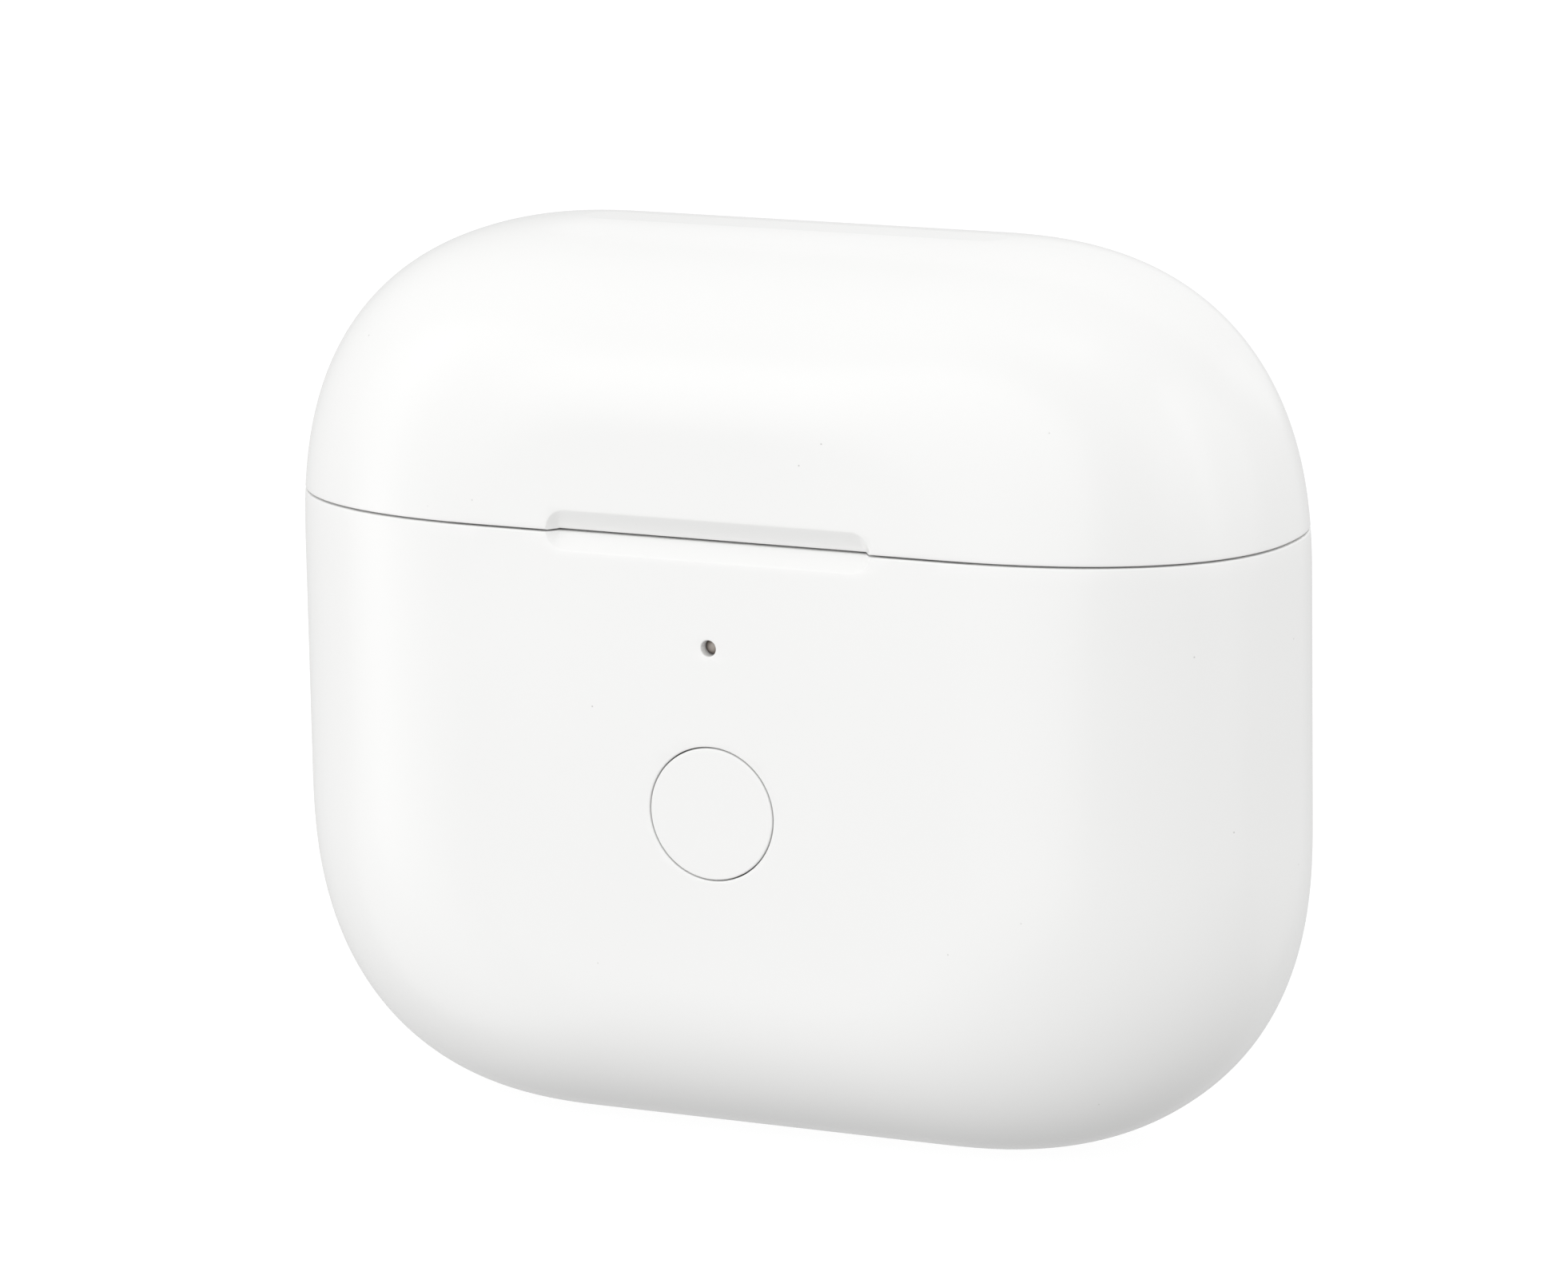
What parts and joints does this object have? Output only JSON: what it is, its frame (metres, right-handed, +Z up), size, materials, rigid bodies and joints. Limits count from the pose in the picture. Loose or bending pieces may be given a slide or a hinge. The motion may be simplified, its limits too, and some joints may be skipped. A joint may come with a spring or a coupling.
{
  "type": "wireless earbuds charging case",
  "caption": "Rounded glossy white clamshell charging case for wireless earbuds, with a hinged lid, thumb notch, status light, pairing button and charging socket.",
  "frame": {"origin": "middle of the flat foot that the case stands on, at the bottom centre of its box", "axes": "+X along the width, towards the right seen from the front; +Y from the front face to the hinged back face; +Z up"},
  "size_m": [0.0544, 0.0214, 0.0464],
  "materials": {
    "shell_white": "glossy white moulded plastic",
    "inner_white": "satin white moulded plastic",
    "smoked_lens": "dark clear plastic",
    "lamp_epoxy": "clear yellowish epoxy",
    "chip_black": "moulded black epoxy",
    "board_green": "solder-masked glass epoxy",
    "steel": "satin stainless steel",
    "screw_steel": "blackened steel",
    "black_plastic": "black glass-filled plastic",
    "gold_plate": "gold plated",
    "flex_film": "amber film",
    "cell_foil": "laminated pouch foil",
    "nickel": "bright nickel plate",
    "tape_white": "adhesive sheet",
    "copper_wire": "enamelled copper winding",
    "ferrite": "dark grey sintered sheet"
  },
  "bodies": {
    "base": {"base_shell": "shell_white", "cradle": "inner_white", "led_lens": "smoked_lens", "led_chip": "lamp_epoxy", "hall_sensor": "chip_black", "front_board": "board_green", "board_bracket": "steel", "switch_frame": "steel", "switch_dome": "steel", "front_flex": "flex_film", "main_board": "board_green", "board_chips": "chip_black", "socket_shell": "steel", "socket_tongue": "black_plastic", "socket_contacts": "gold_plate", "battery_cell": "cell_foil", "battery_tabs": "nickel", "cell_tape": "tape_white", "charge_coil": "copper_wire", "coil_leads": "flex_film", "ferrite_sheet": "ferrite", "base_magnet": "nickel", "earbud_magnets": "nickel", "contact_board_left": "board_green", "contact_board_right": "board_green", "contact_flex": "flex_film", "pin_barrels": "gold_plate", "pin_spring_left_front": "steel", "pin_spring_left_back": "steel", "pin_spring_right_front": "steel", "pin_spring_right_back": "steel", "hinge_base_leaf": "steel", "hinge_pin": "steel", "base_leaf_screws": "screw_steel", "board_screws": "screw_steel"},
    "lid": {"lid_shell": "shell_white", "lid_liner": "inner_white", "lid_magnet": "nickel", "hinge_lid_leaf": "steel", "lid_leaf_screws": "screw_steel"},
    "button": {"button_cap": "shell_white", "switch_plunger": "black_plastic"},
    "contact_left_front": {"pin_left_front": "gold_plate"},
    "contact_left_back": {"pin_left_back": "gold_plate"},
    "contact_right_front": {"pin_right_front": "gold_plate"},
    "contact_right_back": {"pin_right_back": "gold_plate"}
  },
  "joints": [
    {"name": "lid_hinge", "type": "hinge", "parent": "base", "child": "lid", "pos_m": [0, 0.01005, 0.03206], "axis": [-1, 0, 0], "range_deg": [0, 100]},
    {"name": "button_press", "type": "slide", "parent": "base", "child": "button", "axis": [0, 1, 0], "range_m": [0, 0.00025], "stiffness_N_per_m": 2000, "deforming": ["switch_dome"]},
    {"name": "contact_left_front_press", "type": "slide", "parent": "base", "child": "contact_left_front", "axis": [0, 0, -1], "range_m": [0, 0.0006], "stiffness_N_per_m": 800, "deforming": ["pin_spring_left_front"]},
    {"name": "contact_left_back_press", "type": "slide", "parent": "base", "child": "contact_left_back", "axis": [0, 0, -1], "range_m": [0, 0.0006], "stiffness_N_per_m": 800, "deforming": ["pin_spring_left_back"]},
    {"name": "contact_right_front_press", "type": "slide", "parent": "base", "child": "contact_right_front", "axis": [0, 0, -1], "range_m": [0, 0.0006], "stiffness_N_per_m": 800, "deforming": ["pin_spring_right_front"]},
    {"name": "contact_right_back_press", "type": "slide", "parent": "base", "child": "contact_right_back", "axis": [0, 0, -1], "range_m": [0, 0.0006], "stiffness_N_per_m": 800, "deforming": ["pin_spring_right_back"]}
  ]
}
